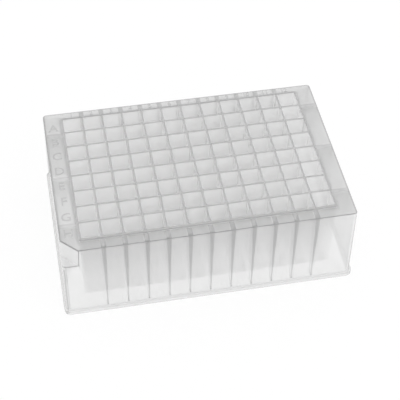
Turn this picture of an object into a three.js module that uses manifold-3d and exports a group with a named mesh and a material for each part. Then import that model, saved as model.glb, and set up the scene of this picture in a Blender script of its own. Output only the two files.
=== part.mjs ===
// Deep-well microplate with 96 square wells, moulded as one piece.
//
// Millimetres, +Z up. The origin is the centre of the base, on the surface the plate stands on.
// X runs along the twelve columns and Y along the eight rows: row A is at +Y and column 1 at -X,
// so the coding notch, beside well H1, is at the corner where X and Y are both negative.

import * as THREE from 'three';
import { mergeVertices } from 'three/addons/utils/BufferGeometryUtils.js';
import Module from 'manifold-3d';

const wasm = await Module();
wasm.setup();

// ---------------------------------------------------------------- driving sizes

// Array of wells, and how far the outermost ones lie from the edges of the footprint
const columns = 12;
const rows = 8;
const pitch = 9;
const columnOffset = 14.38;
const rowOffset = 11.24;

// Height of the plate, and the base's corners
const plateHeight = 41.2;
const footprintCornerRadius = 3;

// One well: a square, tapered bore with a rounded bottom
const wallAtMouth = 0.8;
const wallAtFoot = 1.5;
const wellCornerChamfer = 0.6;
const wellFloorHeight = 4;
const wellBottomRise = 3.2;
const wellFloorWidth = 3.6;
const bottomCornerChamfer = 1.2;

// Rounded feet of the wells, seen from below
const wellFloorThickness = 0.9;
const footRise = 2.6;
const footGroove = 0.5;
const footBottomWidth = 4.8;

// Rim that stands round all the wells, above the deck
const rimWall = 0.8;
const rimHeight = 1.2;
const rimCornerRadius = 0.6;
const rimEdge = 0.25;
const rimDraftRun = 0.02;
const blockDraftRun = 0.15;

// Deck round the rim, and the skirt that hangs from it
const deckThickness = 1.2;
const deckCornerRadius = 1.5;
const deckEdgeRadius = 0.5;
const skirtWall = 1.2;
const skirtDraftRun = 0.6;
const leastCornerRadius = 0.3;

// Base flange
const flangeLedge = 1;
const flangeHeight = 2.2;
const flangeTopWall = 1;
const flangeEdge = 0.25;

// Coding notch beside well H1
const notchLeg = 6.8;
const notchDepth = 9.1;
const notchDraftRun = 0.7;

// Gussets between the skirt and the well block
const gussetTopThickness = 2;
const gussetFootThickness = 0.8;
const gussetFootReach = 0.8;
const gussetFootRise = 0.8;
const endGussetRows = [1, 4, 7];

// How far a body that is joined or cut reaches past the face it meets
const overlap = 0.4;

// ---------------------------------------------------------------- derived sizes

const footprintHalfLength = columnOffset + (columns - 1) * pitch / 2;
const footprintHalfWidth = rowOffset + (rows - 1) * pitch / 2;
const wellMouth = pitch - wallAtMouth;
const wellFoot = pitch - wallAtFoot;
const blockHalfLength = ((columns - 1) * pitch + wellMouth) / 2 + rimWall;
const blockHalfWidth = ((rows - 1) * pitch + wellMouth) / 2 + rimWall;
const deckTop = plateHeight - rimHeight;
const deckUnderside = deckTop - deckThickness;
const skirtFootHalfLength = footprintHalfLength - flangeLedge;
const skirtFootHalfWidth = footprintHalfWidth - flangeLedge;
const deckHalfLength = skirtFootHalfLength - skirtDraftRun;
const deckHalfWidth = skirtFootHalfWidth - skirtDraftRun;
const flangeRecess = flangeHeight - flangeTopWall;
const gussetFootHeight = flangeHeight + gussetFootRise;
const feetBottom = wellFloorHeight - wellFloorThickness;
const feetTop = feetBottom + footRise;

// ---------------------------------------------------------------- outlines

const CORNER_STEPS = 4;
const EDGE_STEPS = 2;
const BOTTOM_STEPS = 2;

/** Angles from nought to a right angle in equal steps. */
const quarterTurn = (steps) => Array.from({ length: steps + 1 }, (_, i) => i / steps * Math.PI / 2);

/** A rectangle with round corners, anticlockwise, as CORNER_STEPS + 1 points a corner. */
function roundedRectangle(halfLength, halfWidth, radius) {
  const centreX = halfLength - radius;
  const centreY = halfWidth - radius;
  const corners = [[1, 1, 0], [-1, 1, 1], [-1, -1, 2], [1, -1, 3]];
  return corners.flatMap(([signX, signY, quarter]) =>
    Array.from({ length: CORNER_STEPS + 1 }, (_, step) => {
      const angle = (quarter + step / CORNER_STEPS) * Math.PI / 2;
      const x = signX * centreX + radius * Math.cos(angle);
      const y = signY * centreY + radius * Math.sin(angle);
      return new THREE.Vector2(x, y);
    }));
}

/** A square of the given width whose corners are cut off, anticlockwise, as eight points. */
function chamferedSquare(width, chamfer) {
  const side = width / 2;
  const cut = side - chamfer;
  const points = [
    [side, -cut], [side, cut], [cut, side], [-cut, side],
    [-side, cut], [-side, -cut], [-cut, -side], [cut, -side],
  ];
  return points.map(([x, y]) => new THREE.Vector2(x, y));
}

/** A plain rectangle between two corners, anticlockwise. */
function rectangle(lowX, lowY, highX, highY) {
  const points = [[lowX, lowY], [highX, lowY], [highX, highY], [lowX, highY]];
  return points.map(([x, y]) => new THREE.Vector2(x, y));
}

// ---------------------------------------------------------------- solids

/** Lofts a closed geometry through sections of equal point count, listed from the lowest up. */
function loft(sections) {
  const count = sections[0].outline.length;
  const positions = sections.flatMap(({ outline, z }) => outline.flatMap(({ x, y }) => [x, y, z]));
  const faces = [];
  for (let level = 0; level < sections.length - 1; level += 1) {
    for (let i = 0; i < count; i += 1) {
      const a = level * count + i;
      const b = level * count + (i + 1) % count;
      faces.push(a, b, b + count, a, b + count, a + count);
    }
  }
  const top = (sections.length - 1) * count;
  for (const [a, b, c] of THREE.ShapeUtils.triangulateShape(sections[0].outline, [])) {
    faces.push(a, c, b);
  }
  for (const [a, b, c] of THREE.ShapeUtils.triangulateShape(sections.at(-1).outline, [])) {
    faces.push(top + a, top + b, top + c);
  }
  const geometry = new THREE.BufferGeometry();
  geometry.setAttribute('position', new THREE.Float32BufferAttribute(positions, 3));
  geometry.setIndex(faces);
  return geometry;
}

/** Turns a closed geometry into a solid that can be joined and cut. */
function toSolid(geometry) {
  const bare = geometry.clone();
  bare.deleteAttribute('normal');
  bare.deleteAttribute('uv');
  const merged = mergeVertices(bare);
  const vertProperties = new Float32Array(merged.attributes.position.array);
  const triVerts = new Uint32Array(merged.index.array);
  return new wasm.Manifold(new wasm.Mesh({ numProp: 3, vertProperties, triVerts }));
}

/** Turns a solid back into a geometry. */
function toGeometry(solid) {
  const mesh = solid.getMesh();
  const geometry = new THREE.BufferGeometry();
  geometry.setAttribute('position', new THREE.BufferAttribute(mesh.vertProperties, 3));
  geometry.setIndex(new THREE.BufferAttribute(mesh.triVerts, 1));
  return geometry;
}

const joined = (solids) => solids.reduce((whole, solid) => whole.add(solid));

// ---------------------------------------------------------------- skirt, deck and flange

/** Half-sizes of the skirt's outer face at a height, from the flange's ledge up to the deck. */
function skirtOuter(z) {
  const rise = (z - flangeHeight) / (deckTop - flangeHeight);
  return {
    x: skirtFootHalfLength + (deckHalfLength - skirtFootHalfLength) * rise,
    y: skirtFootHalfWidth + (deckHalfWidth - skirtFootHalfWidth) * rise,
  };
}

/** The plate's outside: flange, ledge and drafted skirt, closed by the deck, with broken edges. */
function outerEnvelope() {
  const flange = (inset) => roundedRectangle(
    footprintHalfLength - inset,
    footprintHalfWidth - inset,
    footprintCornerRadius - inset,
  );
  const footRadius = footprintCornerRadius - flangeLedge;
  const foot = roundedRectangle(skirtFootHalfLength, skirtFootHalfWidth, footRadius);
  const deckEdge = quarterTurn(EDGE_STEPS).map((angle) => {
    const inset = deckEdgeRadius * (1 - Math.cos(angle));
    const z = deckTop - deckEdgeRadius * (1 - Math.sin(angle));
    const half = skirtOuter(z);
    return { outline: roundedRectangle(half.x - inset, half.y - inset, deckCornerRadius - inset), z };
  });
  return toSolid(loft([
    { outline: flange(flangeEdge), z: 0 },
    { outline: flange(0), z: flangeEdge },
    { outline: flange(0), z: flangeHeight - flangeEdge },
    { outline: flange(flangeEdge), z: flangeHeight },
    { outline: foot, z: flangeHeight },
    ...deckEdge,
  ]));
}

/** A rectangle inside a wall of the skirt, with corners that follow the outer ones. */
function insideSkirt(halfLength, halfWidth, radius) {
  const innerRadius = Math.max(radius - skirtWall, leastCornerRadius);
  return roundedRectangle(halfLength - skirtWall, halfWidth - skirtWall, innerRadius);
}

/** The space inside the skirt, open below, which follows the skirt and steps out in the flange. */
function innerSpace() {
  const under = skirtOuter(deckUnderside);
  const footRadius = footprintCornerRadius - flangeLedge;
  const flange = insideSkirt(footprintHalfLength, footprintHalfWidth, footprintCornerRadius);
  const foot = insideSkirt(skirtFootHalfLength, skirtFootHalfWidth, footRadius);
  return toSolid(loft([
    { outline: flange, z: -overlap },
    { outline: flange, z: flangeRecess },
    { outline: foot, z: flangeRecess },
    { outline: insideSkirt(under.x, under.y, deckCornerRadius), z: deckUnderside },
  ]));
}

/** The corner that the notch takes away, drafted, and grown inwards and down by a wall. */
function notchCorner(wall) {
  const reach = pitch;
  const corner = (leg) => {
    const far = leg + wall * Math.SQRT2 + reach;
    const points = [[-reach, -reach], [far, -reach], [-reach, far]];
    return points.map(([x, y]) => new THREE.Vector2(x - deckHalfLength, y - deckHalfWidth));
  };
  return toSolid(loft([
    { outline: corner(notchLeg - notchDraftRun), z: deckTop - notchDepth - wall },
    { outline: corner(notchLeg), z: deckTop + overlap },
  ]));
}

// ---------------------------------------------------------------- wells

/** Centres of the wells, row by row. */
function wellCentres() {
  const along = Array.from({ length: columns }, (_, i) => (i - (columns - 1) / 2) * pitch);
  const across = Array.from({ length: rows }, (_, j) => (j - (rows - 1) / 2) * pitch);
  return across.flatMap((y) => along.map((x) => ({ x, y })));
}

/** The block that holds the wells, drafted below the deck and upright in the rim. */
function wellBlock() {
  const section = (inset, z) => ({
    outline: roundedRectangle(blockHalfLength - inset, blockHalfWidth - inset, rimCornerRadius),
    z,
  });
  return toSolid(loft([
    section(blockDraftRun, feetTop),
    section(0, deckUnderside),
    section(0, deckTop),
    section(rimDraftRun, plateHeight - rimEdge),
    section(rimDraftRun + rimEdge, plateHeight),
  ]));
}

/** Square sections that round from a flat bottom out to an upright wall, as a quarter ellipse. */
function roundedBottom(bottomWidth, topWidth, bottom, rise) {
  return quarterTurn(BOTTOM_STEPS).map((angle) => {
    const width = bottomWidth + (topWidth - bottomWidth) * Math.sin(angle);
    const extraChamfer = (bottomCornerChamfer - wellCornerChamfer) * Math.cos(angle);
    const z = bottom + rise * (1 - Math.cos(angle));
    return { outline: chamferedSquare(width, wellCornerChamfer + extraChamfer), z };
  });
}

/** The inside of one well: a tapered square bore whose walls round into a small flat floor. */
function wellBore() {
  return toSolid(loft([
    ...roundedBottom(wellFloorWidth, wellFoot, wellFloorHeight, wellBottomRise),
    { outline: chamferedSquare(wellMouth, wellCornerChamfer), z: plateHeight },
  ]));
}

/** The rounded foot under one well. */
function wellFootBody() {
  const width = pitch - footGroove;
  return toSolid(loft([
    ...roundedBottom(footBottomWidth, width, feetBottom, footRise),
    { outline: chamferedSquare(width, wellCornerChamfer), z: feetTop + overlap },
  ]));
}

// ---------------------------------------------------------------- gussets

/** One gusset that stands out from a skirt wall at distance `wall`, towards -X, at Y = 0. */
function gusset(footWall, topWall, blockFace) {
  const section = (inner, outer, thickness) =>
    rectangle(inner, -thickness / 2, outer, thickness / 2);
  const innerFoot = footWall - skirtWall;
  return toSolid(loft([
    {
      outline: section(innerFoot - gussetFootReach, innerFoot + overlap, gussetFootThickness),
      z: gussetFootHeight,
    },
    {
      outline: section(blockFace - overlap, topWall - skirtWall + overlap, gussetTopThickness),
      z: deckUnderside + overlap,
    },
  ]));
}

/** All gussets: one at each column boundary along both sides, and three at each end. */
function gussets() {
  const foot = skirtOuter(gussetFootHeight);
  const top = skirtOuter(deckUnderside);
  const side = gusset(foot.y, top.y, blockHalfWidth);
  const end = gusset(foot.x, top.x, blockHalfLength);
  const columnLines = Array.from({ length: columns - 1 }, (_, i) => (i + 1 - columns / 2) * pitch);
  const rowLines = endGussetRows.map((row) => (row - rows / 2) * pitch);
  const turned = (rib, angle, x, y) => rib.rotate([0, 0, angle]).translate([x, y, 0]);
  return [
    ...columnLines.flatMap((x) => [turned(side, 90, x, 0), turned(side, -90, x, 0)]),
    ...rowLines.flatMap((y) => [turned(end, 0, 0, y), turned(end, 180, 0, y)]),
  ];
}

// ---------------------------------------------------------------- the plate

function wellPlate() {
  const shell = outerEnvelope().subtract(notchCorner(0));
  const hollow = innerSpace().subtract(notchCorner(skirtWall));
  const foot = wellFootBody();
  const bore = wellBore();
  const centres = wellCentres();
  const feet = joined(centres.map(({ x, y }) => foot.translate([x, y, 0])));
  const bores = joined(centres.map(({ x, y }) => bore.translate([x, y, 0])));
  return shell.subtract(hollow).add(joined(gussets())).add(wellBlock()).add(feet).subtract(bores);
}

const polypropylene = new THREE.MeshStandardMaterial({
  name: 'natural polypropylene',
  color: 0xdfe1e2,
  roughness: 0.35,
  metalness: 0,
});

const plate = new THREE.Mesh(toGeometry(wellPlate()), polypropylene);
plate.name = 'well_plate';

const group = new THREE.Group();
group.add(plate);

export default group;
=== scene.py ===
"""Looks of a deep-well microplate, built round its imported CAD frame.

The plate is one moulding of natural polypropylene: 96 square, tapered wells in a block that hangs
from a deck, with a drafted skirt, a base flange, gussets and a coding notch. Lengths are in metres
and +Z is up. X runs from column 1 to column 12, and Y from row H to row A.
"""

import logging
import math
from dataclasses import dataclass
from enum import Enum

import bmesh
import bpy
import numpy as np
from mathutils import Matrix, Vector


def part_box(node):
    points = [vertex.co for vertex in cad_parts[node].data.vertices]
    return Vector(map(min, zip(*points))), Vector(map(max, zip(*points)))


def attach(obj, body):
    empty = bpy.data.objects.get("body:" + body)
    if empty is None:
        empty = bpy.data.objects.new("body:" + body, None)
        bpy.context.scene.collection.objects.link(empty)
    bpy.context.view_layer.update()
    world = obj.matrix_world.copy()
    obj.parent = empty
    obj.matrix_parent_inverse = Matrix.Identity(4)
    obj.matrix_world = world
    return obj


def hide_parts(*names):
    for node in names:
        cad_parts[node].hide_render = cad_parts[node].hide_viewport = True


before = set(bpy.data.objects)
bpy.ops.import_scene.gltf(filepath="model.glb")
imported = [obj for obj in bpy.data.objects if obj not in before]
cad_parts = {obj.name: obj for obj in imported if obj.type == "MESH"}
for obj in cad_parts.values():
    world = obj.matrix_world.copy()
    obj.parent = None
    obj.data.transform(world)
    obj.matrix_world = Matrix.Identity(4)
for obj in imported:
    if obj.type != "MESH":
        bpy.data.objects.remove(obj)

LOG = logging.getLogger("well_plate")
MM = 0.001
NODE = "well_plate"
WELD_DISTANCE = 1e-7
SMOOTH_ANGLE = math.radians(35)
WHITE = (1.0, 1.0, 1.0, 1.0)
Pair = tuple[float, float]


# ---------------------------------------------------------------- meshes


def add_object(name: str, data: bpy.types.ID) -> bpy.types.Object:
    """Makes an object at the origin and links it to the scene.

    Args:
        name: The object's name.
        data: Its mesh, curve, lamp or camera.

    Returns:
        The object.
    """
    made = bpy.data.objects.new(name, data)
    bpy.context.scene.collection.objects.link(made)
    return made


@dataclass
class Surface:
    """Points and faces of a mesh that is yet to be made."""

    points: np.ndarray
    faces: list[list[int]]

    def to_object(self, name: str) -> bpy.types.Object:
        """Puts the surface into a new object that stands at the origin.

        Args:
            name: The object's and the mesh's name.

        Returns:
            The object.
        """
        mesh = bpy.data.meshes.new(name)
        mesh.from_pydata(self.points.tolist(), [], self.faces)
        mesh.update()
        return add_object(name, mesh)

    def with_other(self, other: "Surface") -> "Surface":
        """Puts another surface beside this one.

        Args:
            other: The surface that is added.

        Returns:
            Both as one surface.
        """
        shift = len(self.points)
        moved = [[point + shift for point in face] for face in other.faces]
        return Surface(np.concatenate([self.points, other.points]), self.faces + moved)


def rounded_rectangle(half_x: float, half_y: float, radius: float, steps: int) -> np.ndarray:
    """Outline of a rectangle with round corners, anticlockwise.

    Each corner is a quarter circle: its centre plus the radius times (cos a, sin a), with a
    running through the quarter in equal steps.

    Args:
        half_x: Half of the length along X.
        half_y: Half of the length along Y.
        radius: Radius of the corners.
        steps: Number of straight pieces in a corner.

    Returns:
        Points as an array of shape (4 * (steps + 1), 2).
    """
    angle = (np.arange(4)[:, None] + np.linspace(0, 1, steps + 1)[None, :]) * math.pi / 2
    signs = np.array([[1, 1], [-1, 1], [-1, -1], [1, -1]])[:, None, :]
    centres = signs * np.array([half_x - radius, half_y - radius])
    arcs = radius * np.stack([np.cos(angle), np.sin(angle)], axis=-1)
    return (centres + arcs).reshape(-1, 2)


def level(outline: np.ndarray, z: float) -> np.ndarray:
    """Lifts a flat outline to a height, as an array of shape (count, 3)."""
    return np.column_stack([outline, np.full(len(outline), z)])


def quarter(steps: int) -> np.ndarray:
    """Angles from nought to a right angle in equal steps."""
    return np.linspace(0, math.pi / 2, steps + 1)


def quarter_round(radius: float, steps: int) -> np.ndarray:
    """Distances of a rounded edge from the two flats that it joins.

    At angle a the first is the radius times one less cos a, which grows from nought, and the
    second is the radius times one less sin a, which shrinks to nought.

    Args:
        radius: Radius of the edge.
        steps: Number of straight pieces in it.

    Returns:
        Pairs of distances, as an array of shape (steps + 1, 2).
    """
    angles = quarter(steps)
    return radius * (1 - np.stack([np.cos(angles), np.sin(angles)], axis=-1))


def loft(sections: np.ndarray, places: np.ndarray | None = None) -> Surface:
    """Joins sections of equal point count into closed solids, one at each place.

    The surface is a grid of (section, point along the outline), closed round the outline, with a
    flat face over the first and the last section.

    Args:
        sections: Array of shape (levels, count, 3), from the lowest up, each anticlockwise.
        places: Array of shape (copies, 3) of shifts, or None for one copy at the origin.

    Returns:
        The solids as one surface.
    """
    levels, count, _ = sections.shape
    shifts = np.zeros((1, 3)) if places is None else places
    points = (shifts[:, None, None, :] + sections[None]).reshape(-1, 3)
    row = np.arange(levels - 1)[:, None] * count
    here = np.arange(count)[None, :]
    after = (here + 1) % count
    quads = np.stack([row + here, row + after, row + after + count, row + here + count], axis=-1)
    starts = np.arange(len(shifts)) * levels * count
    sides = (starts[:, None, None] + quads.reshape(1, -1, 4)).reshape(-1, 4)
    floor = starts[:, None] + np.arange(count)[None, ::-1]
    roof = starts[:, None] + (levels - 1) * count + np.arange(count)[None, :]
    return Surface(points, sides.tolist() + floor.tolist() + roof.tolist())


class Cut(Enum):
    """How a solid changes another."""

    JOIN = "UNION"
    TAKE = "DIFFERENCE"


def apply_modifiers(body: bpy.types.Object) -> None:
    """Replaces an object's mesh by the one that its modifiers make, and clears them.

    Args:
        body: The object.
    """
    bpy.context.view_layer.update()
    depsgraph = bpy.context.evaluated_depsgraph_get()
    old = body.data
    body.data = bpy.data.meshes.new_from_object(body.evaluated_get(depsgraph))
    body.modifiers.clear()
    bpy.data.meshes.remove(old)


def combine(body: bpy.types.Object, tool: bpy.types.Object, cut: Cut) -> None:
    """Joins a solid to another or takes it away, and removes the tool.

    Args:
        body: The solid that is changed.
        tool: The solid that is joined or taken away.
        cut: Which of the two.
    """
    step = body.modifiers.new("combine", "BOOLEAN")
    step.operation = cut.value
    step.solver = "MANIFOLD"
    step.object = tool
    apply_modifiers(body)
    bpy.data.meshes.remove(tool.data)


def weld(mesh: bpy.types.Mesh) -> None:
    """Joins the points of a mesh that lie together, which closes it.

    Args:
        mesh: The mesh.
    """
    work = bmesh.new()
    work.from_mesh(mesh)
    bmesh.ops.remove_doubles(work, verts=work.verts, dist=WELD_DISTANCE)
    work.to_mesh(mesh)
    work.free()


def smooth(body: bpy.types.Object) -> None:
    """Shades curved stretches smooth and keeps flat faces flat.

    Args:
        body: The object.
    """
    body.data.shade_smooth()
    body.data.set_sharp_from_angle(angle=SMOOTH_ANGLE)
    weighted = body.modifiers.new("flat_faces", "WEIGHTED_NORMAL")
    weighted.keep_sharp = True
    apply_modifiers(body)


# ---------------------------------------------------------------- shader expressions


class Signal:
    """A shader socket that can be used in Python expressions."""

    def __init__(self, graph: "Graph", socket: bpy.types.NodeSocket) -> None:
        """Wraps a socket of a graph."""
        self.graph = graph
        self.socket = socket

    def _math(self, operation: str, first: object, second: object) -> "Signal":
        """Adds a Math node on two values."""
        return self.graph.node("ShaderNodeMath", {"operation": operation}, {0: first, 1: second})

    def __add__(self, other: object) -> "Signal":
        """Sum."""
        return self._math("ADD", self, other)

    def __sub__(self, other: object) -> "Signal":
        """Difference."""
        return self._math("SUBTRACT", self, other)

    def __rsub__(self, other: object) -> "Signal":
        """Difference from a number."""
        return self._math("SUBTRACT", other, self)

    def __mul__(self, other: object) -> "Signal":
        """Product."""
        return self._math("MULTIPLY", self, other)

    __radd__ = __add__
    __rmul__ = __mul__

    def size(self) -> "Signal":
        """The value without its sign."""
        return self._math("ABSOLUTE", self, 0.0)

    def at_most(self, limit: float) -> "Signal":
        """The smaller of the value and a limit."""
        return self._math("MINIMUM", self, limit)

    def past_multiple(self, step: float) -> "Signal":
        """Distance from the nearest multiple of a step."""
        return self._math("PINGPONG", self, step / 2)

    def share_of(self, step: float) -> "Signal":
        """Share of a step that has passed since its last multiple."""
        return self._math("FRACT", self * (1.0 / step), 0.0)

    def rise(self, low: float, high: float) -> "Signal":
        """Nought below a range of the value and one above it, with a straight slope between."""
        inputs = {"Value": self, "From Min": low, "From Max": high}
        return self.graph.node("ShaderNodeMapRange", {"clamp": True}, inputs)

    def within(self, low: float, high: float, soft: float) -> "Signal":
        """One inside a range of the value and nought outside it, with soft ends."""
        return self.rise(low - soft, low) * (1.0 - self.rise(high, high + soft))


class Graph:
    """The nodes of one material or world."""

    def __init__(self, tree: bpy.types.NodeTree) -> None:
        """Takes over a node tree and empties it."""
        self.tree = tree
        tree.nodes.clear()

    def node(self, kind: str, settings: dict[str, object] | None = None,
             inputs: dict[object, object] | None = None, output: object = 0) -> Signal:
        """Adds a node.

        Args:
            kind: The node's type.
            settings: Its own settings, which are set first.
            inputs: Values or signals for its sockets, by name or number.
            output: The output that is returned, by name or number.

        Returns:
            The chosen output.
        """
        made = self.tree.nodes.new(kind)
        for name, value in (settings or {}).items():
            setattr(made, name, value)
        for key, value in (inputs or {}).items():
            if isinstance(value, Signal):
                self.tree.links.new(value.socket, made.inputs[key])
            else:
                made.inputs[key].default_value = value
        return Signal(self, made.outputs[output])

    def finish(self, kind: str, **sockets: Signal) -> None:
        """Adds the output node and links it.

        Args:
            kind: The output node's type.
            **sockets: Signals for its sockets, such as Surface and Volume.
        """
        out = self.tree.nodes.new(kind)
        for name, value in sockets.items():
            self.tree.links.new(value.socket, out.inputs[name])

    def split(self, vector: Signal) -> list[Signal]:
        """Takes a vector apart.

        Args:
            vector: The vector.

        Returns:
            Its three parts.
        """
        parts = self.tree.nodes.new("ShaderNodeSeparateXYZ")
        self.tree.links.new(vector.socket, parts.inputs[0])
        return [Signal(self, part) for part in parts.outputs]


def new_material(name: str) -> tuple[bpy.types.Material, Graph]:
    """Makes an empty material.

    Args:
        name: The material's name.

    Returns:
        The material and its graph.
    """
    material = bpy.data.materials.new(name)
    material.use_nodes = True
    return material, Graph(material.node_tree)


def grey(value: float) -> tuple[float, float, float, float]:
    """A grey as a colour."""
    return (value, value, value, 1.0)


def seen_directly(graph: Graph) -> Signal:
    """One for rays that show the background: straight, mirrored or passed through plastic.

    Args:
        graph: The graph that uses it.

    Returns:
        The share, nought or one.
    """
    kinds = [graph.node("ShaderNodeLightPath", output=name)
             for name in ("Is Camera Ray", "Is Glossy Ray", "Is Transmission Ray")]
    return (kinds[0] + kinds[1] + kinds[2]).at_most(1.0)


# ---------------------------------------------------------------- finishes


@dataclass(frozen=True)
class Haze:
    """How milky a stretch of the moulding looks.

    Cover is the share of light that a face scatters; the rest goes straight through. Shade is the
    grey of what it scatters; a grey below white is painted shade, as the plastic has no pigment.
    """

    shade: float
    cover: float


@dataclass(frozen=True)
class Borders:
    """Where the stretches of the moulding begin and end, beyond what the housing's sizes say.

    A pair gives the ends of the slope over which a mask rises. The first group holds heights, the
    second holds distances across the plate, and the third holds parts of a face's direction and
    plain shares.
    """

    well_walls: Pair = (6.0 * MM, 22.0 * MM)
    well_tops: Pair = (27.0 * MM, 33.0 * MM)
    painted_shade_sides: Pair = (28.0 * MM, 40.0 * MM)
    front_face_painted_shade: Pair = (14.0 * MM, 39.0 * MM)
    feet_fade: float = 1.0 * MM
    gusset_foot_fade: float = 1.0 * MM
    gusset_end: float = 0.9 * MM
    ledge_line: float = 0.5 * MM
    notch_foot_fade: float = 1.0 * MM
    mark_foot: Pair = (0.02 * MM, 0.04 * MM)

    soft: float = 0.05 * MM
    face_depth: Pair = (0.4 * MM, 0.3 * MM)
    front_depth: Pair = (1.0 * MM, 2.0 * MM)
    gusset_sides: Pair = (-0.1 * MM, 0.2 * MM)
    gusset_middle: Pair = (0.2 * MM, 0.35 * MM)
    last_gusset: Pair = (5.0 * MM, 4.0 * MM)
    rim_band: Pair = (0.7 * MM, 1.4 * MM)
    outline_width: float = 0.35 * MM
    notch_reach: Pair = (2.5 * MM, 2.6 * MM)
    notch_line_end: float = 0.1 * MM
    notch_side: Pair = (0.08 * MM, 0.4 * MM)
    chamfer: Pair = (-0.3 * MM, 0.5 * MM)

    flat: Pair = (0.9, 0.98)
    tilted: Pair = (0.15, 0.25)
    facing_low_x: Pair = (0.6, 0.8)
    side_on: Pair = (0.8, 0.9)
    round_corner: Pair = (0.35, 0.48)
    notch_wall: Pair = (0.3, 0.4)
    shadow_fade: Pair = (0.0, 0.6)
    gusset_tip: float = 0.2


class Stretches:
    """Masks over the moulding, by where its faces lie and which way they point.

    Each mask is one on its own stretch and nought elsewhere. Most mark stretches that are painted
    darker, as painted shade.
    """

    def __init__(self, graph: Graph, place: Signal, housing: "Housing") -> None:
        """Makes the signals that several masks share.

        Args:
            graph: The material's graph.
            place: Object coordinates.
            housing: Gives heights and distances.
        """
        self.housing = housing
        self.borders = Borders()
        soft = self.borders.soft
        self.x, self.y, self.z = graph.split(place)
        direction = graph.node("ShaderNodeTexCoord", output="Normal")
        self.nx, self.ny, self.nz = graph.split(direction)
        self.wide, self.deep = self.x.size(), self.y.size()
        self.from_corner = self.x + self.y + float(sum(housing.skirt_half(housing.deck_top)))
        self.block_x, self.block_y = housing.block_half
        self.inner_x, self.inner_y = housing.skirt_half(housing.deck_top) - housing.wall

        self.past_x = self.wide.rise(self.block_x + soft, self.block_x + 2 * soft)
        self.past_y = self.deep.rise(self.block_y + soft, self.block_y + 2 * soft)
        self.outside = (self.past_x + self.past_y).at_most(1.0)
        self.inside = 1.0 - self.outside
        self.below_deck = 1.0 - self.z.rise(housing.deck_under, housing.deck_under + soft)
        edge_start = housing.deck_top - housing.deck_edge
        self.deck_level = self.z.rise(edge_start - soft, edge_start)
        self.flat = self.nz.rise(*self.borders.flat)
        self.tilted = self.nz.rise(*self.borders.tilted) * (1.0 - self.flat)
        self.block_face = (self.near_edge(self.wide, self.block_x)
                           + self.near_edge(self.deep, self.block_y)).at_most(1.0)
        self.columns_end = self.before_end(self.wide, self.block_x)
        self.rows_end = self.before_end(self.deep, self.block_y)

    def near_edge(self, distance: Signal, half: float) -> Signal:
        """The outer skin of the block of wells, on one pair of its sides."""
        start, end = self.borders.face_depth
        return distance.rise(half - start, half - end)

    def before_end(self, distance: Signal, half: float) -> Signal:
        """The stretch of a skirt wall that has gussets, which is all but its ends."""
        start, end = self.borders.last_gusset
        return 1.0 - distance.rise(half - start, half - end)

    def skin(self, distance: Signal, inner: float) -> Signal:
        """The skirt's outside and the whole deck, on one pair of sides."""
        start, end = inner - 2 * self.borders.soft, inner - self.borders.soft
        return (distance.rise(start, end) + (1.0 - self.below_deck)).at_most(1.0)

    def side_skin(self) -> Signal:
        """Where the gussets along the columns can show through."""
        return self.past_y * self.skin(self.deep, self.inner_y) * self.columns_end

    def end_skin(self) -> Signal:
        """Where the gussets at the ends can show through."""
        return self.past_x * self.skin(self.wide, self.inner_x) * self.rows_end

    def well_walls(self) -> Signal:
        """The wells above their feet."""
        return self.inside * self.z.rise(*self.borders.well_walls)

    def well_tops(self) -> Signal:
        """The uppermost part of the wells."""
        return self.inside * self.z.rise(*self.borders.well_tops)

    def painted_shade_sides(self) -> Signal:
        """The upper walls of the wells that face column 1, where shade is painted as on the side
        turned from the lamp.
        """
        facing = (self.nx * -1.0).rise(*self.borders.facing_low_x)
        return self.inside * facing * self.z.rise(*self.borders.painted_shade_sides)

    def block_faces(self) -> Signal:
        """The outside of the block of wells, under the deck."""
        return self.inside * self.block_face * self.below_deck

    def front_face_painted_shade(self) -> Signal:
        """The upper part of the block's outside along row H, painted darker as shade under the
        deck.

        Returns:
            The mask.
        """
        start, end = self.borders.front_depth
        front = 1.0 - self.y.rise(-self.block_y + start, -self.block_y + end)
        return self.block_faces() * front * self.z.rise(*self.borders.front_face_painted_shade)

    def feet(self) -> Signal:
        """The feet of the wells."""
        top = self.housing.wells.feet_top
        return self.inside * (1.0 - self.z.rise(top, top + self.borders.feet_fade))

    def rim_face(self) -> Signal:
        """The outside of the rim, above the deck, painted darker as painted shade."""
        low = self.housing.deck_top + self.borders.soft
        return self.inside * self.block_face * self.z.rise(low, low + self.borders.soft)

    def rim(self) -> Signal:
        """The tops of all walls between the wells, painted darker as shade for light that runs down
        inside the walls.
        """
        lip = self.housing.wells.height - self.housing.wells.lip_radius
        return self.z.rise(lip - self.borders.soft, lip)

    def corners(self) -> Signal:
        """The round corners of the skirt, painted darker as painted shade along the bends."""
        bend = (self.nx * self.ny).size().rise(*self.borders.round_corner)
        return self.outside * self.below_deck * bend

    def fin_sides(self, distance: Signal, inner: float, along: Signal) -> Signal:
        """Faces behind one pair of skirt walls that look along them, under the deck."""
        hidden = 1.0 - distance.rise(inner - self.borders.soft, inner)
        return hidden * along.size().rise(*self.borders.side_on) * self.below_deck

    def side_gussets(self) -> Signal:
        """The flat sides of the gussets along the columns, painted darker as painted shade."""
        return self.past_y * self.columns_end * self.fin_sides(self.deep, self.inner_y, self.nx)

    def end_gussets(self) -> Signal:
        """The flat sides of the gussets at the ends."""
        return self.past_x * self.rows_end * self.fin_sides(self.wide, self.inner_x, self.ny)

    def gusset_half(self) -> Signal:
        """Half of a gusset's thickness as it shows through the skirt, which grows with height.

        Returns:
            The half thickness.
        """
        housing = self.housing
        thin = housing.gusset_foot * self.borders.gusset_tip
        taper = (housing.gusset_top / 2 - thin) / (housing.deck_under - housing.gusset_height)
        return (self.z - housing.gusset_height) * taper + thin

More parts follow.
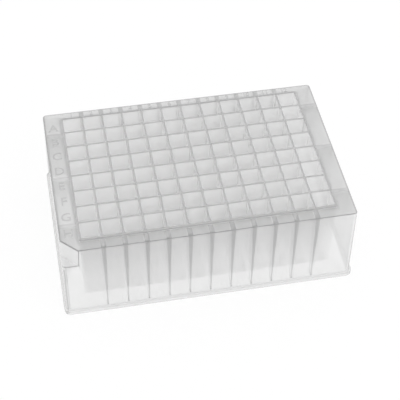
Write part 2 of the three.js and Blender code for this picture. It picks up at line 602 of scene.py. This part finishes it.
    def gusset_lines(self) -> Signal:
        """The gussets as they show through the skirt and the deck, painted as lines of shade.

        Returns:
            The mask.
        """
        housing, half = self.housing, self.gusset_half()
        foot = housing.gusset_height
        above_foot = self.z.rise(foot, foot + self.borders.gusset_foot_fade)
        low, high = self.borders.gusset_sides
        near_column = 1.0 - (self.x.past_multiple(housing.wells.pitch) - half).rise(low, high)
        near_row = 1.0 - (self.y.past_multiple(housing.end_pitch) - half).rise(low, high)
        shown = self.side_skin() * near_column + self.end_skin() * near_row
        return (shown * above_foot).at_most(1.0)

    def gusset_ends(self) -> Signal:
        """The feet of the gussets along the columns, as they show through the skirt, painted as
        dark spots of shade.

        Returns:
            The mask.
        """
        foot = self.housing.gusset_height
        height = self.z.within(foot, foot + self.borders.gusset_end, 2 * self.borders.soft)
        away = self.x.past_multiple(self.housing.wells.pitch)
        middle = 1.0 - away.rise(*self.borders.gusset_middle)
        return self.side_skin() * middle * height

    def deck(self) -> Signal:
        """The flat of the deck, painted a darker grey as painted shade."""
        return self.outside * self.deck_level * self.flat

    def deck_shadow(self) -> Signal:
        """The deck close to the rim, and beside the gussets at the ends but for the last.

        Returns:
            The mask.
        """
        low, high = self.borders.rim_band
        by_rim = ((1.0 - (self.wide - self.block_x).rise(low, high))
                  * (1.0 - (self.deep - self.block_y).rise(low, high)))
        step = self.housing.end_pitch
        fade = 1.0 - (step - self.y).share_of(step).rise(*self.borders.shadow_fade)
        front_rows = 1.0 - self.y.rise(step, step + self.borders.soft)
        beside = self.past_x * self.flat * self.deck_level * fade * front_rows
        return (beside + by_rim * self.deck()).at_most(1.0)

    def deck_edges(self) -> Signal:
        """The rounded edges of the deck, painted darker as painted shade."""
        return self.outside * self.deck_level * self.tilted

    def deck_outline(self) -> Signal:
        """A thin line of painted shade on the flat of the deck, along its ends and behind row A.

        Returns:
            The mask.
        """
        housing, soft = self.housing, self.borders.soft
        edge = housing.skirt_half(housing.deck_top) - housing.deck_edge
        line_x, line_y = edge - self.borders.outline_width
        line = self.wide.rise(line_x, line_x + soft) + self.y.rise(line_y, line_y + soft)
        return line.at_most(1.0) * self.flat * self.deck_level

    def flange_edge(self) -> Signal:
        """The rounded edge of the base flange, painted darker as painted shade.

        Returns:
            The mask.
        """
        top, edge = self.housing.flange_height, self.housing.flange_edge
        near_top = self.z.within(top - edge, top + edge, self.borders.soft)
        return self.outside * near_top * self.tilted

    def notch(self) -> Signal:
        """The slanting wall of the coding notch, and its ledge.

        Returns:
            The mask.
        """
        housing, soft = self.housing, self.borders.soft
        floor, foot = housing.notch_floor, housing.notch_floor - housing.wall
        start, end = self.borders.notch_reach
        near = 1.0 - self.from_corner.rise(housing.notch_leg + start, housing.notch_leg + end)
        slanting = (self.nx * self.ny).rise(*self.borders.notch_wall)
        wall = near * slanting * self.z.rise(foot - self.borders.notch_foot_fade, foot)
        ledge = near * self.flat * self.z.within(floor - soft, floor + soft, soft)
        return (wall + ledge).at_most(1.0) * self.outside

    def notch_lines(self) -> Signal:
        """The edges of the coding notch, painted as lines of shade: under its ledge, up its sides
        and along the deck.

        Returns:
            The mask.
        """
        housing, soft = self.housing, self.borders.soft
        leg, floor = housing.notch_leg, housing.notch_floor
        steep = 1.0 - self.flat
        ledge = self.z.within(floor - self.borders.ledge_line, floor, soft) * steep
        ledge = ledge * (1.0 - self.from_corner.rise(leg, leg + self.borders.notch_line_end))
        low, high = self.borders.notch_side
        lean = (self.z - housing.deck_top) * (housing.notch_draft / housing.notch_depth)
        side = (self.from_corner - lean).within(leg + low, leg + high, soft) * steep
        side = side * self.z.rise(floor - soft, floor)
        low, high = self.borders.chamfer
        chamfer = self.from_corner.within(leg + low, leg + high, soft) * self.deck_level
        return ((ledge + chamfer + side) * self.outside).at_most(1.0)

    def marks(self) -> Signal:
        """The raised letters and numbers, painted darker as shade so that their relief shows."""
        low, high = self.borders.mark_foot
        return self.outside * self.z.rise(self.housing.deck_top + low, self.housing.deck_top + high)


@dataclass(frozen=True)
class NaturalPolypropylene:
    """Unpigmented polypropylene: milky, see-through and satin.

    Each face scatters a share of the light, forwards and back, and lets the rest through. The
    walls' tops and the outer edges are painted darker, as painted shade for light that runs down
    inside the wall there, and the other greys of the stretches are painted shade too.
    A pattern is a noise's scale per metre and its detail, and absorption is per metre too.
    """

    # Greys below white are painted shade: the plastic is unpigmented, and each stretch's grey
    # stands in for shade under and between parts and for light that runs inside the walls.
    well_feet: Haze = Haze(1.0, 0.08)
    wells: Haze = Haze(1.0, 0.17)
    well_tops: Haze = Haze(0.98, 0.5)
    # Painted shade: the upper walls of the wells that face column 1 are painted darker, as the side
    # turned from the lamp.
    well_sides_painted_shade: Haze = Haze(0.8, 0.45)
    block_foot: Haze = Haze(0.92, 0.14)
    # Painted shade: the block's outside along row H is painted darker towards the deck.
    block_top_painted_shade: Haze = Haze(0.38, 0.7)
    feet: Haze = Haze(0.93, 0.22)
    rim_face: Haze = Haze(0.35, 0.75)
    rim: Haze = Haze(0.42, 0.86)
    skirt: Haze = Haze(0.83, 0.31)
    corners: Haze = Haze(0.38, 0.62)
    flange: Haze = Haze(0.5, 0.55)
    notch: Haze = Haze(0.86, 0.45)
    deck: Haze = Haze(0.57, 0.6)
    deck_shadow: Haze = Haze(0.44, 0.75)
    edges: Haze = Haze(0.26, 0.87)
    outline: Haze = Haze(0.36, 0.75)
    marks: Haze = Haze(0.4, 0.65)
    side_gussets: Haze = Haze(0.6, 0.5)
    end_gussets: Haze = Haze(1.0, 0.12)
    gusset_lines: Haze = Haze(0.38, 0.52)
    gusset_ends: Haze = Haze(0.2, 0.8)

    forward_share: float = 0.4
    forward_shade: float = 1.0
    refraction: float = 1.49
    roughness: float = 0.22
    roughness_spread: float = 0.12
    flow_pattern: Pair = (45.0, 3.0)
    flow_depth: float = 0.02
    grain_pattern: Pair = (900.0, 2.0)
    grain_middle: float = 0.5
    grain_height: float = 0.02 * MM
    grain_strength: float = 0.6
    absorption: float = 1.5
    passed_shade: float = 0.5

    def build(self, housing: "Housing") -> bpy.types.Material:
        """Builds the material.

        Args:
            housing: Gives the heights and distances at which the stretches begin and end.

        Returns:
            The material.
        """
        material, graph = new_material("natural_polypropylene")
        place = graph.node("ShaderNodeTexCoord", output="Object")
        flow, grain = (
            graph.node("ShaderNodeTexNoise", None,
                       {"Vector": place, "Scale": scale, "Detail": detail})
            for scale, detail in (self.flow_pattern, self.grain_pattern)
        )
        shade, cover = self.shares(Stretches(graph, place, housing))
        shade = shade * (1.0 - self.flow_depth * flow)
        tone = graph.node("ShaderNodeCombineColor", None, {0: shade, 1: shade, 2: shade})
        bump = graph.node("ShaderNodeBump", None, {
            "Height": grain,
            "Distance": self.grain_height,
            "Strength": self.grain_strength,
        })
        back = graph.node("ShaderNodeBsdfPrincipled", None, {
            "Base Color": tone,
            "Roughness": self.roughness + self.roughness_spread * (grain - self.grain_middle),
            "IOR": self.refraction,
            "Normal": bump,
        })
        forward = graph.node("ShaderNodeBsdfTranslucent", None, {"Color": grey(self.forward_shade)})
        share = self.forward_share * shade
        scattered = graph.node("ShaderNodeMixShader", None, {0: share, 1: back, 2: forward})
        straight = graph.node("ShaderNodeBsdfTransparent")
        surface = graph.node("ShaderNodeMixShader", None, {0: cover, 1: straight, 2: scattered})
        volume = graph.node("ShaderNodeVolumeAbsorption", None, {
            "Color": grey(self.passed_shade),
            "Density": self.absorption / (1.0 - self.passed_shade),
        })
        graph.finish("ShaderNodeOutputMaterial", Surface=surface, Volume=volume)
        return material

    def shares(self, on: Stretches) -> tuple[Signal, Signal]:
        """Lays the haze and the painted shade of each stretch over those of the lowest part of the
        wells.

        Args:
            on: The masks.

        Returns:
            The shade and the cover.
        """
        layers = [
            (on.well_walls(), self.wells),
            (on.well_tops(), self.well_tops),
            (on.painted_shade_sides(), self.well_sides_painted_shade),
            (on.block_faces(), self.block_foot),
            (on.front_face_painted_shade(), self.block_top_painted_shade),
            (on.feet(), self.feet),
            (on.rim_face(), self.rim_face),
            (on.outside, self.skirt),
            (on.corners(), self.corners),
            (on.notch(), self.notch),
            (on.side_gussets(), self.side_gussets),
            (on.end_gussets(), self.end_gussets),
            (on.deck(), self.deck),
            (on.deck_shadow(), self.deck_shadow),
            (on.gusset_lines(), self.gusset_lines),
            (on.gusset_ends(), self.gusset_ends),
            (on.deck_edges(), self.edges),
            (on.deck_outline(), self.outline),
            (on.flange_edge(), self.flange),
            (on.notch_lines(), self.edges),
            (on.marks(), self.marks),
            (on.rim(), self.rim),
        ]
        shade, cover = self.well_feet.shade, self.well_feet.cover
        for mask, haze in layers:
            shade = shade + mask * (haze.shade - shade)
            cover = cover + mask * (haze.cover - cover)
        return shade, cover


@dataclass(frozen=True)
class PaleFloor:
    """A white table that stays white behind the plate and keeps a faint shadow."""

    albedo: float = 0.95
    glow: float = 1.0
    glow_share: float = 0.92

    def build(self) -> bpy.types.Material:
        """Builds the material.

        Returns:
            The material.
        """
        material, graph = new_material("pale_floor")
        paint = graph.node("ShaderNodeBsdfDiffuse", None, {"Color": grey(self.albedo)})
        glow = graph.node("ShaderNodeEmission", None, {"Color": WHITE, "Strength": self.glow})
        seen = seen_directly(graph) * self.glow_share
        mixed = graph.node("ShaderNodeMixShader", None, {0: seen, 1: paint, 2: glow})
        graph.finish("ShaderNodeOutputMaterial", Surface=mixed)
        return material


# ---------------------------------------------------------------- the plate


@dataclass
class WellArray:
    """The wells: square, tapered bores whose walls round into the bottom, and their feet.

    A section's corner radius is at most a part, largest_round, of its half width. The bores stand
    proud of the rim by the clearance, and the feet lap into the block.
    """

    height: float
    columns: int = 12
    rows: int = 8
    pitch: float = 9.0 * MM
    mouth: float = 8.2 * MM
    foot: float = 7.5 * MM
    corner_radius: float = 0.5 * MM
    lip_radius: float = 0.25 * MM
    depth: float = 37.2 * MM
    rise: float = 3.2 * MM
    floor_half: float = 1.8 * MM
    bottom_corner_radius: float = 1.8 * MM
    floor_thickness: float = 0.9 * MM
    feet_rise: float = 2.6 * MM
    feet_groove: float = 0.5 * MM
    feet_half: float = 2.4 * MM
    feet_lap: float = 0.4 * MM
    clearance: float = 1.0 * MM
    largest_round: float = 0.98
    corner_steps: int = 6
    bottom_steps: int = 8
    feet_steps: int = 7
    lip_steps: int = 4

    @property
    def floor(self) -> float:
        """Height of the wells' floor."""
        return self.height - self.depth

    @property
    def feet_bottom(self) -> float:
        """Height of the lowest point of the feet."""
        return self.floor - self.floor_thickness

    @property
    def feet_top(self) -> float:
        """Height at which the feet leave the block."""
        return self.feet_bottom + self.feet_rise

    def centres(self) -> np.ndarray:
        """Places of the wells.

        Returns:
            Their middles at height nought, as an array of shape (wells, 3).
        """
        x = (np.arange(self.columns) - (self.columns - 1) / 2) * self.pitch
        y = (np.arange(self.rows) - (self.rows - 1) / 2) * self.pitch
        grid = np.stack(np.meshgrid(x, y), axis=-1).reshape(-1, 2)
        return np.column_stack([grid, np.zeros(len(grid))])

    def square(self, half: float, radius: float, z: float) -> np.ndarray:
        """One square section with round corners."""
        corner = min(radius, half * self.largest_round)
        return level(rounded_rectangle(half, half, corner, self.corner_steps), z)

    def dome(self, flat: float, half: float, bottom: float, rise: float,
             steps: int) -> list[np.ndarray]:
        """Sections of a rounded bottom, from its flat middle up to where the wall starts.

        At angle a the half width is that of the flat plus the rest times sin a, and the height is
        the rise times one less cos a, so that each side is a quarter of an ellipse.

        Args:
            flat: Half width of the flat middle.
            half: Half width where the wall starts.
            bottom: Height of the lowest point.
            rise: Height of the rounded part.
            steps: Number of stretches between the sections.

        Returns:
            The sections, from the lowest up.
        """
        angles = quarter(steps)
        widths = flat + (half - flat) * np.sin(angles)
        heights = bottom + rise * (1 - np.cos(angles))
        extra = self.bottom_corner_radius - self.corner_radius
        radii = self.corner_radius + extra * np.cos(angles)
        return [self.square(w, r, z) for w, r, z in zip(widths, radii, heights)]

    def bores(self) -> bpy.types.Object:
        """All wells as solids to take away, each with a rounded lip at its mouth.

        Returns:
            The solids, which stand proud of the rim.
        """
        sections = self.dome(self.floor_half, self.foot / 2, self.floor, self.rise,
                             self.bottom_steps)
        for out, drop in quarter_round(self.lip_radius, self.lip_steps):
            sections.append(self.square(self.mouth / 2 + out, self.corner_radius + out,
                                        self.height - drop))
        sections.append(sections[-1] + np.array([0, 0, self.clearance]))
        return loft(np.stack(sections), self.centres()).to_object("bores")

    def feet(self) -> bpy.types.Object:
        """The rounded feet of the wells.

        Returns:
            The feet, which lap into the block.
        """
        half = (self.pitch - self.feet_groove) / 2
        sections = self.dome(self.feet_half, half, self.feet_bottom, self.feet_rise,
                             self.feet_steps)
        sections.append(self.square(half, self.corner_radius, self.feet_top + self.feet_lap))
        return loft(np.stack(sections), self.centres()).to_object("feet")


@dataclass
class Housing:
    """Flange, skirt, deck, notch, gussets and the block that holds the wells.

    The skirt's walls lean in by the draft from the ledge to the deck. The rounding of the step
    inside the flange has one section between its ends, a part, step_middle, of the radius from
    both flats. A solid that is taken away stands past the plate by the clearance.
    """

    length: float
    width: float
    wells: WellArray
    base_radius: float = 3.0 * MM
    deck_radius: float = 1.5 * MM
    hollow_radius: float = 0.6 * MM
    least_radius: float = 0.2 * MM
    ledge: float = 1.0 * MM
    flange_height: float = 2.2 * MM
    flange_recess: float = 1.2 * MM
    wall: float = 1.2 * MM
    draft: float = 0.6 * MM
    rim_height: float = 1.2 * MM
    rim_wall: float = 0.8 * MM
    block_draft: float = 0.15 * MM
    notch_leg: float = 6.8 * MM
    notch_depth: float = 9.1 * MM
    notch_draft: float = 0.7 * MM
    deck_edge: float = 0.5 * MM
    flange_edge: float = 0.3 * MM
    rim_edge: float = 0.25 * MM
    rim_draft: float = 0.02 * MM
    rim_corner_radius: float = 0.6 * MM
    gusset_top: float = 2.0 * MM
    gusset_foot: float = 0.8 * MM
    gusset_reach: float = 0.8 * MM
    gusset_height: float = 3.0 * MM
    gusset_lap: float = 0.4 * MM
    clearance: float = 1.0 * MM
    step_middle: float = 0.3
    end_rows: tuple[int, ...] = (1, 4, 7)
    corner_steps: int = 10
    edge_steps: int = 3
    rim_steps: int = 4
    deck_edge_steps: int = 5

    @property
    def base_half(self) -> np.ndarray:
        """Half sizes of the whole plate."""
        return np.array([self.length, self.width]) / 2

    @property
    def end_pitch(self) -> float:
        """Distance between the gussets at the ends."""
        return (self.end_rows[1] - self.end_rows[0]) * self.wells.pitch

    @property
    def deck_top(self) -> float:
        """Height of the deck."""
        return self.wells.height - self.rim_height

    @property
    def deck_under(self) -> float:
        """Height of the deck's underside."""
        return self.deck_top - self.wall

    @property
    def notch_floor(self) -> float:
        """Height of the notch's ledge."""
        return self.deck_top - self.notch_depth

    @property
    def block_half(self) -> np.ndarray:
        """Half sizes of the block of wells at the rim."""
        count = np.array([self.wells.columns, self.wells.rows])
        return (count * self.wells.pitch + self.rim_wall) / 2

    def skirt_half(self, z: float) -> np.ndarray:
        """Half sizes of the skirt's outside at a height, from the ledge to the deck."""
        rise = (z - self.flange_height) / (self.deck_top - self.flange_height)
        return self.base_half - self.ledge - self.draft * rise

    def ring(self, half: np.ndarray, radius: float, z: float) -> np.ndarray:
        """One rectangular section with round corners."""
        corner = max(radius, self.least_radius)
        return level(rounded_rectangle(half[0], half[1], corner, self.corner_steps), z)

    def envelope(self) -> bpy.types.Object:
        """The outside: flange, ledge and skirt, with rounded edges, closed by the deck.

        Returns:
            The solid.
        """
        base, foot_radius = self.base_half, self.base_radius - self.ledge
        flange_round = quarter_round(self.flange_edge, self.edge_steps)
        sections = [self.ring(base - inset, self.base_radius - inset, up)
                    for up, inset in flange_round]
        sections += [self.ring(base - inset, self.base_radius - inset, self.flange_height - drop)
                     for inset, drop in flange_round]
        for up, gap in flange_round:
            z = self.flange_height + up
            sections.append(self.ring(self.skirt_half(z) + gap, foot_radius + gap, z))
        for inset, drop in quarter_round(self.deck_edge, self.deck_edge_steps):
            z = self.deck_top - drop
            sections.append(self.ring(self.skirt_half(z) - inset, self.deck_radius - inset, z))
        return loft(np.stack(sections)).to_object("plate_moulding")

    def inner_space(self) -> bpy.types.Object:
        """The space inside the skirt, open below, with a step inside the flange.

        Returns:
            The solid to take away.
        """
        base = self.base_half - self.wall
        foot = self.skirt_half(self.flange_recess) - self.wall
        roof = self.skirt_half(self.deck_under) - self.wall
        radius, edge, recess = self.base_radius - self.wall, self.flange_edge, self.flange_recess
        middle = edge * self.step_middle
        sections = [
            self.ring(base, radius, -self.clearance),
            self.ring(base, radius, recess - edge),
            self.ring(base - middle, radius, recess - middle),
            self.ring(base - edge, radius, recess),
            self.ring(foot, radius - self.ledge, recess),
        ]
        sections += [self.ring(roof - inset, self.hollow_radius - inset, self.deck_under - drop)
                     for inset, drop in quarter_round(edge, self.edge_steps)]
        return loft(np.stack(sections)).to_object("inner_space")

    def notch(self, wall: float) -> bpy.types.Object:
        """The corner that the coding notch takes away, with its draft.

        Args:
            wall: How far it is grown inwards and down, to leave a wall of that thickness.

        Returns:
            The solid to take away.
        """
        corner = -self.skirt_half(self.deck_top)
        reach = self.wells.pitch
        ends = [(self.notch_leg - self.notch_draft, self.notch_floor - wall),
                (self.notch_leg, self.deck_top + self.clearance)]
        sections = []
        for leg, z in ends:
            far = leg + wall * math.sqrt(2) + reach
            outline = corner + np.array([[-reach, -reach], [far, -reach], [-reach, far]])
            sections.append(level(outline, z))
        return loft(np.stack(sections)).to_object("notch")

    def block(self) -> bpy.types.Object:
        """The block of wells, from the feet to its rounded rim.

        Returns:
            The solid, still without its wells.
        """
        half, radius = self.block_half, self.rim_corner_radius
        sections = [
            self.ring(half - self.block_draft, radius, self.wells.feet_top),
            self.ring(half, radius, self.deck_under),
            self.ring(half, radius, self.deck_top),
        ]
        sections += [self.ring(half - (self.rim_draft + inset), radius, self.wells.height - drop)
                     for inset, drop in quarter_round(self.rim_edge, self.rim_steps)]
        return loft(np.stack(sections)).to_object("block")

    def gussets(self, side: int, along: np.ndarray) -> Surface:
        """Gussets between one pair of skirt walls and the block.

        Each is a taper between two rectangles: thick and full width under the deck, thin and
        narrow at its foot.

        Args:
            side: 0 for the gussets at the ends, 1 for those along the sides.
            along: Places of the gussets along the wall.

        Returns:
            The gussets at both walls of the pair.
        """
        lap = self.gusset_lap
        low = self.skirt_half(self.gusset_height)[side] - self.wall
        high = self.skirt_half(self.deck_under)[side] - self.wall
        ends = [
            (low - self.gusset_reach, low + lap, self.gusset_foot, self.gusset_height),
            (self.block_half[side] - lap, high + lap, self.gusset_top, self.deck_under + lap),
        ]
        sections = np.stack([
            np.array([[a, -t / 2, z], [b, -t / 2, z], [b, t / 2, z], [a, t / 2, z]])
            for a, b, t, z in ends
        ])
        places = np.zeros((len(along), 3))
        places[:, 1 - side] = along
        pair = []
        for quarter_turns in (side, side + 2):
            angle = quarter_turns * math.pi / 2
            turn = np.array([[math.cos(angle), -math.sin(angle), 0],
                             [math.sin(angle), math.cos(angle), 0],
                             [0, 0, 1]])
            pair.append(loft(sections @ turn.T, places))
        return pair[0].with_other(pair[1])

    def build(self) -> bpy.types.Object:
        """Moulds the whole plate as one solid.

        Returns:
            The plate, still without its marks and its material.
        """
        wells = self.wells
        plate = self.envelope()
        combine(plate, self.notch(0.0), Cut.TAKE)
        hollow = self.inner_space()
        combine(hollow, self.notch(self.wall), Cut.TAKE)
        combine(plate, hollow, Cut.TAKE)
        lines = (np.arange(1, wells.columns) - wells.columns / 2) * wells.pitch
        ends = (np.array(self.end_rows) - wells.rows / 2) * wells.pitch
        combine(plate, self.gussets(1, lines).to_object("side_gussets"), Cut.JOIN)
        combine(plate, self.gussets(0, ends).to_object("end_gussets"), Cut.JOIN)
        combine(plate, self.block(), Cut.JOIN)
        combine(plate, wells.feet(), Cut.JOIN)
        combine(plate, wells.bores(), Cut.TAKE)
        return plate


@dataclass
class Marks:
    """Raised row letters and column numbers on the deck.

    A capital is a part, capital_share, of its font's size.
    """

    housing: Housing
    letters: str = "ABCDEFGH"
    letter_height: float = 4.4 * MM
    number_height: float = 2.4 * MM
    relief: float = 0.15 * MM
    sunk: float = 0.1 * MM
    capital_share: float = 0.7
    curve_steps: int = 3

    def glyph(self, text: str, height: float, x: float, y: float) -> bpy.types.Object:
        """One mark as a raised solid.

        Args:
            text: The letter or number.
            height: Height of its capitals.
            x: Place of its middle.
            y: Place of its middle.

        Returns:
            The mark as a mesh at its place on the deck.
        """
        curve = bpy.data.curves.new("mark", "FONT")
        curve.body = text
        curve.size = height / self.capital_share
        curve.align_x = "CENTER"
        curve.align_y = "CENTER"
        curve.extrude = (self.relief + self.sunk) / 2
        curve.resolution_u = self.curve_steps
        holder = add_object("mark", curve)
        bpy.context.view_layer.update()
        depsgraph = bpy.context.evaluated_depsgraph_get()
        mesh = bpy.data.meshes.new_from_object(holder.evaluated_get(depsgraph))
        bpy.data.objects.remove(holder)
        middle = self.housing.deck_top + (self.relief - self.sunk) / 2
        mesh.transform(Matrix.Translation((x, y, middle)))
        weld(mesh)
        return add_object("mark", mesh)

    def build(self) -> list[bpy.types.Object]:
        """Makes all marks.

        Returns:
            The letters from row A, then the numbers from column 1.
        """
        wells = self.housing.wells
        deck = self.housing.skirt_half(self.housing.deck_top)
        block = self.housing.block_half
        letter_x = -(deck[0] + block[0]) / 2
        number_y = (deck[1] + block[1]) / 2
        marks = [
            self.glyph(letter, self.letter_height, letter_x,
                       ((wells.rows - 1) / 2 - row) * wells.pitch)
            for row, letter in enumerate(self.letters)
        ]
        marks += [
            self.glyph(str(column + 1), self.number_height,
                       (column - (wells.columns - 1) / 2) * wells.pitch, number_y)
            for column in range(wells.columns)
        ]
        return marks


# ---------------------------------------------------------------- the studio


@dataclass
class Studio:
    """Floor, soft light and camera. Azimuth, elevation and roll are in degrees."""

    floor_half: float = 1.5
    floor_drop: float = 0.1 * MM
    room_level: float = 1.0
    seen_level: float = 1.0
    lamp_power: float = 4.0
    lamp_size: float = 1.2
    lamp_place: tuple[float, float, float] = (0.6, -0.8, 1.1)
    azimuth: float = -11.657
    elevation: float = 47.589
    roll: float = 1.223
    distance: float = 464.98 * MM
    focal_over_width: float = 2.7618
    aim: Pair = (-1.731 * MM, -23.627 * MM)
    shift: float = 0.00125
    clip: Pair = (0.01, 10.0)

    def floor(self) -> None:
        """Lays the floor just under the plate."""
        half = self.floor_half
        outline = np.array([[-half, -half], [half, -half], [half, half], [-half, half]])
        floor = Surface(level(outline, -self.floor_drop), [[0, 1, 2, 3]]).to_object("floor")
        floor.data.materials.append(PaleFloor().build())

    def light(self) -> None:
        """Fills the room with even light and adds one soft lamp."""
        world = bpy.data.worlds.new("room")
        bpy.context.scene.world = world
        world.use_nodes = True
        graph = Graph(world.node_tree)
        room = graph.node("ShaderNodeBackground", None,
                          {"Color": WHITE, "Strength": self.room_level})
        seen = graph.node("ShaderNodeBackground", None,
                          {"Color": WHITE, "Strength": self.seen_level})
        mixed = graph.node("ShaderNodeMixShader", None, {0: seen_directly(graph), 1: room, 2: seen})
        graph.finish("ShaderNodeOutputWorld", Surface=mixed)
        lamp = bpy.data.lights.new("soft_lamp", "AREA")
        lamp.energy = self.lamp_power
        lamp.size = self.lamp_size
        place = Vector(self.lamp_place)
        turn = place.to_track_quat("Z", "Y").to_matrix().to_4x4()
        add_object("soft_lamp", lamp).matrix_world = Matrix.Translation(place) @ turn

    def camera(self, top: float) -> None:
        """Sets the camera.

        Args:
            top: Height of the point that the camera aims at.
        """
        azimuth, elevation, roll = map(math.radians, (self.azimuth, self.elevation, self.roll))
        back = Vector((math.sin(azimuth) * math.cos(elevation),
                       -math.cos(azimuth) * math.cos(elevation), math.sin(elevation)))
        level_right = Vector((math.cos(azimuth), math.sin(azimuth), 0.0))
        level_up = back.cross(level_right)
        right = level_right * math.cos(roll) + level_up * math.sin(roll)
        up = level_up * math.cos(roll) - level_right * math.sin(roll)
        data = bpy.data.cameras.new("camera")
        data.lens = data.sensor_width * self.focal_over_width
        data.shift_x, data.shift_y = -self.shift, self.shift
        data.clip_start, data.clip_end = self.clip
        camera = add_object("camera", data)
        place = Vector((*self.aim, top)) + back * self.distance
        axes = Matrix((right, up, back)).transposed().to_4x4()
        camera.matrix_world = Matrix.Translation(place) @ axes
        bpy.context.scene.camera = camera


@dataclass(frozen=True)
class LightPaths:
    """How many surfaces light may cross. The wells' walls stand one behind the other."""

    all_kinds: int = 64
    diffuse: int = 48
    glossy: int = 16
    transmission: int = 48
    transparent: int = 64

    def apply(self) -> None:
        """Sets the limits."""
        limits = bpy.context.scene.cycles
        limits.max_bounces = self.all_kinds
        limits.diffuse_bounces = self.diffuse
        limits.glossy_bounces = self.glossy
        limits.transmission_bounces = self.transmission
        limits.transparent_max_bounces = self.transparent


def main() -> None:
    """Builds the plate round its frame, in order."""
    logging.basicConfig(level=logging.INFO, format="%(name)s: %(message)s")
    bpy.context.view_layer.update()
    low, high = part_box(NODE)
    bpy.context.scene.view_settings.view_transform = "Standard"
    LightPaths().apply()
    studio = Studio()
    studio.camera(high.z)
    studio.floor()
    studio.light()

    wells = WellArray(height=high.z)
    housing = Housing(length=high.x - low.x, width=high.y - low.y, wells=wells)
    plate = housing.build()
    LOG.info("%s: %d faces", plate.name, len(plate.data.polygons))
    for mark in Marks(housing).build():
        combine(plate, mark, Cut.JOIN)
    LOG.info("%s with its marks: %d faces", plate.name, len(plate.data.polygons))
    smooth(plate)
    plate.data.materials.clear()
    plate.data.materials.append(NaturalPolypropylene().build(housing))
    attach(plate, "root")
    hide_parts(NODE)


if __name__ == "__main__":
    main()
